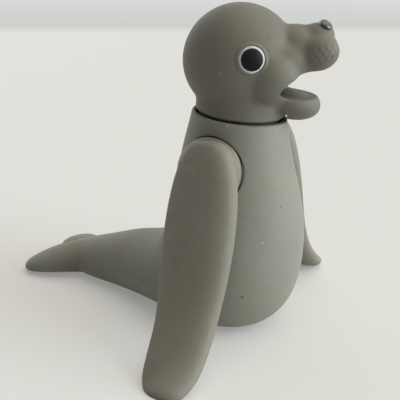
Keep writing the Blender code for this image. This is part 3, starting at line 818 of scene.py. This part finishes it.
headSizes = {
    # mm and degrees
    "voxel": 0.5,
    "smoothing": 30,
    "lipVoxel": 0.38,
    "lipSmoothing": 16,
    "turn": 22,
    "tilt": 17,
    "skullBack": 2.2,
    "craniumHeight": 18.9,
    "cranium": (19.8, 19.4, 19.2),
    "wall": 2.4,
    "hollowBack": 3.5,
    "hollowUp": 2.5,
    "muzzlePlace": (17.4, 0, -1.4),
    "muzzle": (14.0, 10.8, 9.4),
    "padForward": 26.6,
    "padApart": 4.7,
    "padDrop": 1.8,
    "padRadius": 6.2,
    "padStretch": 1.2,
    "cheekRadius": 9.4,
    "cheekForward": 9.5,
    "cheekApart": 9.4,
    "cheekDrop": 0.64,              # of its own radius
    "cheekStretch": 1.1,
    "browPlace": (0.42, 0, 0.04),   # shares of the cranium, as are the three below
    "brow": (0.73, 0.62, 0.57),
    "chinPlace": (0.33, 0, -0.6),
    "chin": (0.65, 0.63, 0.43),
    "browSlope": 8,
    "jowlPlace": (10.5, 0, -2.6),   # fills the face between the cheeks and the muzzle
    "jowl": (16.0, 14.8, 9.8),
    "stopPlace": (18.5, 0, 3.0),    # softens the step from the brow down to the muzzle
    "stop": (8.5, 9.0, 5.6),
    "bridgePlace": (27.0, 0, 3.0),
    "bridge": (6.4, 6.0, 4.6),
    "jawLength": 23.5,
    "jawShare": 0.52,               # the jaw's half length, as a share of its length
    "jawHinge": (3.7, 0, -10.8),
    "jawDrop": 28,
    "jawHalfWidth": 10.2,
    "jawHalfHeight": 6.8,
    "mouthPlace": (26.5, 0, -12.6),
    "mouth": (20.5, 22.0, 5.0),
    "mouthSlope": 8.4,
    "tonguePlace": (17.0, 0, -16.0),
    "tongue": (8.5, 5.0, 1.7),
    "neckCore": (15.8, -12, 8),     # radius, foot and top
    "neckFlare": 4.6,
    "collarInside": 14.6,
    "collarClear": 17.9,            # the jaw comes no nearer to the collar than this
    "clearTop": 2.2,
    "clearFoot": -30,
    "seatDepth": 2.4,
    "seatChamfer": 1.6,
    "spigotRadius": 9.2,
    "spigotEnd": -6.95,
    "flangeRadius": 11.0,
    "flangeThickness": 2.0,
    "flangeChamfer": 0.8,
    "vent": (6.4, -20, 10),         # radius, foot and top
    "under": -4.25,                 # the seat's foot, just above the shelf
    "eyeRadius": 4.4,
    "eyeRound": 73,
    "eyeUp": 6,
    "eyeStandsOut": 1.0,
    "eyeSunk": 0.8,
    "rimWidth": 0.75,
    "socketReach": 7.5,
    "socketDepth": 0.5,
    "socketDeep": 8,                # the sockets are pressed in this near to the eyes
    "lidGap": 0.35,
    "lidReach": 1.0,
    "lidHeight": 0.4,
    "noseForward": 30.4,
    "noseHeight": 5.8,
    "noseLift": 45,                 # how far the nose pad looks upwards
    "nose": (1.9, 4.1, 2.7),
    # along each nostril: share of the nose's length, then mm out and up
    "nostril": ((1, 0.9, -0.5), (1, 1.7, 0.5), (0.8, 2.5, 0.5)),
    "nostrilDepth": 0.5,
    "nostrilReach": 0.65,
    "philtrum": ((33.6, 0, 3), (34, 0, -1), (33, 0, -5)),
    "philtrumDepth": 0.45,
    "philtrumReach": 1.0,
    "pitRows": ((-2, 4), (14, 4), (30, 3)),     # height in degrees and pits in the row
    "pitStart": 38,
    "pitStep": 19,
    "pitSlant": 0.4,
    "pitDrop": 12,
    "pitRadius": 0.35,
    "pitDepth": 0.15,
    "pitReach": 0.4,
}


def ofCranium(name):
    return tuple(share * size for share, size in zip(headSizes[name], headSizes["cranium"]))


def padPlace(side):
    # a whisker pad, beside the nose
    return headSizes["padForward"], side * headSizes["padApart"], -headSizes["padDrop"]


def padRadii():
    pad = headSizes["padRadius"]
    return headSizes["padStretch"] * pad, pad, pad


def headLumps():
    # each lump's middle, radii and pitch
    sizes = headSizes
    drop = math.radians(sizes["jawDrop"])
    jawReach = Vector((math.cos(drop), 0, -math.sin(drop))) * 0.5 * sizes["jawLength"]
    jaw = (sizes["jawShare"] * sizes["jawLength"], sizes["jawHalfWidth"], sizes["jawHalfHeight"])
    shapes = [
        ((0, 0, 0), sizes["cranium"], 0),
        (sizes["muzzlePlace"], sizes["muzzle"], 0),
        (ofCranium("browPlace"), ofCranium("brow"), -math.radians(sizes["browSlope"])),
        (sizes["bridgePlace"], sizes["bridge"], 0),
        (sizes["jowlPlace"], sizes["jowl"], 0),
        (sizes["stopPlace"], sizes["stop"], 0),
        (Vector(sizes["jawHinge"]) + jawReach, jaw, -drop),
        (ofCranium("chinPlace"), ofCranium("chin"), -drop),
    ]
    cheek = sizes["cheekRadius"]
    for side in (1, -1):
        shapes.append((padPlace(side), padRadii(), 0))
        shapes.append(((sizes["cheekForward"], side * sizes["cheekApart"], -sizes["cheekDrop"] * cheek),
                       (sizes["cheekStretch"] * cheek, cheek, cheek), 0))
    return [ellipsoid(Vector(centre) * mm, Vector(radii) * mm, pitch) for centre, radii, pitch in shapes]


def neckProfile():
    # radius and height, down the outside of the neck, its seat, spigot and flange
    sizes = headSizes
    seat, flare, under = sizes["collarInside"], sizes["neckFlare"], sizes["under"]
    spigot, end, flange = sizes["spigotRadius"], sizes["spigotEnd"], sizes["flangeRadius"]
    return [
        (seat + flare, flare), (seat, 0), (seat, -sizes["seatDepth"]), (seat - sizes["seatChamfer"], under),
        (spigot, under), (spigot, end), (flange, end),
        (flange - sizes["flangeChamfer"], end - sizes["flangeThickness"]),
    ]


def headed(side, across, up):
    # a direction from the middle of a lump, this many degrees round to one side and up
    across, up = math.radians(across), math.radians(up)
    return Vector((math.cos(across) * math.cos(up), side * math.sin(across) * math.cos(up), math.sin(up)))


def eyePlace(side):
    heading = headed(side, headSizes["eyeRound"], headSizes["eyeUp"])
    radii = Vector(headSizes["cranium"])
    normal = Vector(heading[axis] / radii[axis] for axis in range(3)).normalized()
    turn = normal.to_track_quat("Z", "Y").to_matrix().to_4x4()
    return Matrix.Translation(heading * radii * mm) @ turn


def padPits():
    # rows of whisker pits on the pads beside the nose
    sizes = headSizes
    pits = []
    for side in (1, -1):
        for height, count in sizes["pitRows"]:
            for column in range(count):
                across = sizes["pitStart"] + sizes["pitStep"] * column + sizes["pitSlant"] * height
                heading = headed(side, across, height - sizes["pitDrop"])
                pits.append(Vector(padPlace(side)) + heading * Vector(padRadii()))
    return pits


def sculptFace(skin):
    # sockets, lids, philtrum and whisker pits, pressed into the skin in the skull's frame
    sizes = headSizes
    points, _ = readPoints(skin)
    heights = np.zeros(len(points))
    for side in (1, -1):
        place = eyePlace(side)
        local = (points - np.array(place.translation)) @ np.array(place.to_3x3())
        fromEye = np.hypot(local[:, 0], local[:, 1])
        near = falloff(np.abs(local[:, 2]), sizes["socketDeep"] * mm) > 0
        heights -= near * sizes["socketDepth"] * mm * falloff(fromEye, sizes["socketReach"] * mm)
        lid = fromEye - (sizes["eyeRadius"] + sizes["lidGap"]) * mm
        heights += near * sizes["lidHeight"] * mm * falloff(lid, sizes["lidReach"] * mm)
    philtrum = distanceToPath(points, [Vector(point) * mm for point in sizes["philtrum"]])
    heights -= sizes["philtrumDepth"] * mm * falloff(philtrum, sizes["philtrumReach"] * mm)
    for pit in padPits():
        away = np.linalg.norm(points - np.array(pit * mm), axis=1) - sizes["pitRadius"] * mm
        heights -= sizes["pitDepth"] * mm * falloff(np.maximum(away, 0), sizes["pitReach"] * mm)
    return pushed(skin, heights)


def makeNose(place):
    sizes = headSizes
    length = sizes["nose"][0]
    middle = Vector((sizes["noseForward"], 0, sizes["noseHeight"])) * mm
    nose = ellipsoid((0, 0, 0), Vector(sizes["nose"]) * mm, segments=96)
    points, _ = readPoints(nose)
    heights = np.zeros(len(points))
    for side in (1, -1):
        slit = [Vector((share * length, side * out, up)) * mm for share, out, up in sizes["nostril"]]
        away = distanceToPath(points, slit)
        heights -= sizes["nostrilDepth"] * mm * falloff(away, sizes["nostrilReach"] * mm)
    pushed(nose, heights)
    turn = Matrix.Rotation(-math.radians(sizes["noseLift"]), 4, "Y")
    placed(nose, place @ Matrix.Translation(middle) @ turn)
    addPiece("nosePaint", nose, "head", [paints["black"]])


def makeEye(place, name):
    # a flat dome in gloss paint with a thin pale ring round it
    sizes = headSizes
    radius, proud, sunk = sizes["eyeRadius"], sizes["eyeStandsOut"], sizes["eyeSunk"]
    radii = Vector((radius, radius, proud + sunk)) * mm
    ball = ellipsoid(Vector((0, 0, -sunk)) * mm, radii, segments=96)
    rimEdge = (radius - sizes["rimWidth"]) * mm
    indices = [int(math.hypot(face.center.x, face.center.y) > rimEdge) for face in ball.polygons]
    eye = addPiece(name, placed(ball, place), "head", [paints["eye"], paints["rim"]])
    eye.data.polygons.foreach_set("material_index", indices)


def makeHead():
    sizes = headSizes
    headFrame = neckFrame() @ Matrix.Rotation(math.radians(sizes["turn"]), 4, "Z")
    cranium = Matrix.Translation((-sizes["skullBack"] * mm, 0, sizes["craniumHeight"] * mm))
    skull = cranium @ Matrix.Rotation(-math.radians(sizes["tilt"]), 4, "Y")
    inside = skull.inverted()
    core = drum(*(size * mm for size in sizes["neckCore"]), inside)
    skin = blended(headLumps() + [core], sizes["voxel"] * mm, sizes["smoothing"])
    mouth = ellipsoid(Vector(sizes["mouthPlace"]) * mm, Vector(sizes["mouth"]) * mm,
                      -math.radians(sizes["mouthSlope"]), segments=64)
    tongue = ellipsoid(Vector(sizes["tonguePlace"]) * mm, Vector(sizes["tongue"]) * mm,
                       -math.radians(sizes["jawDrop"]))
    skin = blended([cut(skin, [mouth]), tongue], sizes["lipVoxel"] * mm, sizes["lipSmoothing"])
    skin = placed(sculptFace(skin), skull)
    profile = [(radius * mm, height * mm) for radius, height in neckProfile()]
    # all that comes too near to the collar is cut away round the neck
    widest, top = profile[0]
    clear = sizes["collarClear"] * mm
    sheath = turned([(widest, top), (clear, sizes["clearTop"] * mm), (clear, sizes["clearFoot"] * mm)])
    neck = turned([(widest + 1 * mm, top + 1 * mm)] + profile)
    skin = cut(skin, [cut(sheath, [neck])])
    back, up, wall = sizes["hollowBack"], sizes["hollowUp"], sizes["wall"]
    length, width, height = sizes["cranium"]
    hollow = ellipsoid(Vector((-back, 0, up)) * mm,
                       Vector((length - wall - back, width - wall, height - wall - up)) * mm)
    skin = cut(skin, [placed(hollow, skull), drum(*(size * mm for size in sizes["vent"]))])
    head = addPiece("headMoulding", placed(skin, headFrame), "head", [vinyl["head"]])
    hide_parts("head")
    makeNose(headFrame @ skull)
    for side, name in ((1, "eyeLeft"), (-1, "eyeRight")):
        makeEye(headFrame @ skull @ eyePlace(side), name)


makeHead()
print("head made")


# Table, light and backdrop

stageSizes = {
    "tableRadius": 2.0,         # metres
    "backDirection": (-0.728, 0.686, 0),
    "backEdge": 0.913,          # metres to the table's far edge, which is out of focus
    "backSoft": 0.05,
    "backTop": 1.6,             # where the backdrop beyond it is at its lightest
    "tableColour": (0.765, 0.765, 0.745),
    "tableRoughness": 0.6,
    "tableGloss": 0.05,
    "tableGlow": 0.35,          # the camera sees this much of the table's plain colour, shadow or not
    "tablePlain": (0.735, 0.725, 0.69),
    "backdropLow": (0.6, 0.62, 0.595),
    "backdropHigh": (0.7, 0.715, 0.705),
    "ambient": 0.035,
    "ambientColour": (1.0, 0.9, 0.8),
}


def makeTable():
    sizes = stageSizes
    disc = bmesh.new()
    bmesh.ops.create_circle(disc, cap_ends=True, segments=128, radius=sizes["tableRadius"])
    table = bpy.data.objects.new("table", meshFrom(disc, "table"))
    bpy.context.scene.collection.objects.link(table)
    material, tree, shader = newMaterial("tableTop")
    shader.inputs["Base Color"].default_value = (*sizes["tableColour"], 1)
    shader.inputs["Roughness"].default_value = sizes["tableRoughness"]
    shader.inputs["Specular IOR Level"].default_value = sizes["tableGloss"]
    place = addNode(tree, "TexCoord").outputs["Object"]
    away = addNode(tree, "VectorMath", {0: place, 1: sizes["backDirection"]}, operation="DOT_PRODUCT")
    away = away.outputs["Value"]
    edge, soft = sizes["backEdge"], sizes["backSoft"]
    backdrop = mixed(
        tree, spread(tree, away, edge, sizes["backTop"]),
        (*sizes["backdropLow"], 1), (*sizes["backdropHigh"], 1))
    far = addNode(tree, "Emission", {"Color": backdrop})
    plain = addNode(tree, "Emission", {"Color": (*sizes["tablePlain"], 1)})
    glow = maths(tree, "MULTIPLY", seenRays(tree), sizes["tableGlow"])
    near = addNode(tree, "MixShader", {0: glow, 1: shader.outputs[0], 2: plain.outputs[0]})
    fade = addNode(tree, "MixShader", {
        0: spread(tree, away, edge - soft, edge + soft), 1: near.outputs[0], 2: far.outputs[0]})
    tree.links.new(fade.outputs[0], tree.nodes["Material Output"].inputs["Surface"])
    table.data.materials.append(material)


def makeWorld():
    sizes = stageSizes
    world = bpy.data.worlds.new("world")
    bpy.context.scene.world = world
    world.use_nodes = True
    tree = world.node_tree
    ambient = tree.nodes["Background"]
    ambient.inputs["Color"].default_value = (*sizes["ambientColour"], 1)
    ambient.inputs["Strength"].default_value = sizes["ambient"]
    wall = addNode(tree, "Background", {"Color": (*sizes["backdropHigh"], 1), "Strength": 1.0})
    mix = addNode(tree, "MixShader", {0: seenRays(tree), 1: ambient.outputs[0], 2: wall.outputs[0]})
    tree.links.new(mix.outputs[0], tree.nodes["World Output"].inputs["Surface"])


lamps = {
    # where it stands seen from the figurine, its strength, how wide it is in degrees, colour
    "window": ((0.928, 0.284, 0.242), 3.6, 60, (0.94, 1.0, 1.03)),
    "backWindow": ((-0.8, 0.46, 0.375), 0.55, 60, (0.97, 1.0, 1.0)),
    "ceiling": ((0.224, 0.129, 0.966), 1.85, 75, (1.03, 0.985, 0.9)),
}


def makeLamps():
    for name, (direction, strength, width, colour) in lamps.items():
        lamp = bpy.data.lights.new(name, "SUN")
        lamp.energy = strength
        lamp.angle = math.radians(width)
        lamp.color = colour
        holder = bpy.data.objects.new(name, lamp)
        bpy.context.scene.collection.objects.link(holder)
        holder.rotation_euler = Vector(direction).to_track_quat("Z", "Y").to_euler()


makeTable()
makeWorld()
makeLamps()
bpy.context.scene.view_settings.view_transform = "Standard"
print("stage and lamps made")
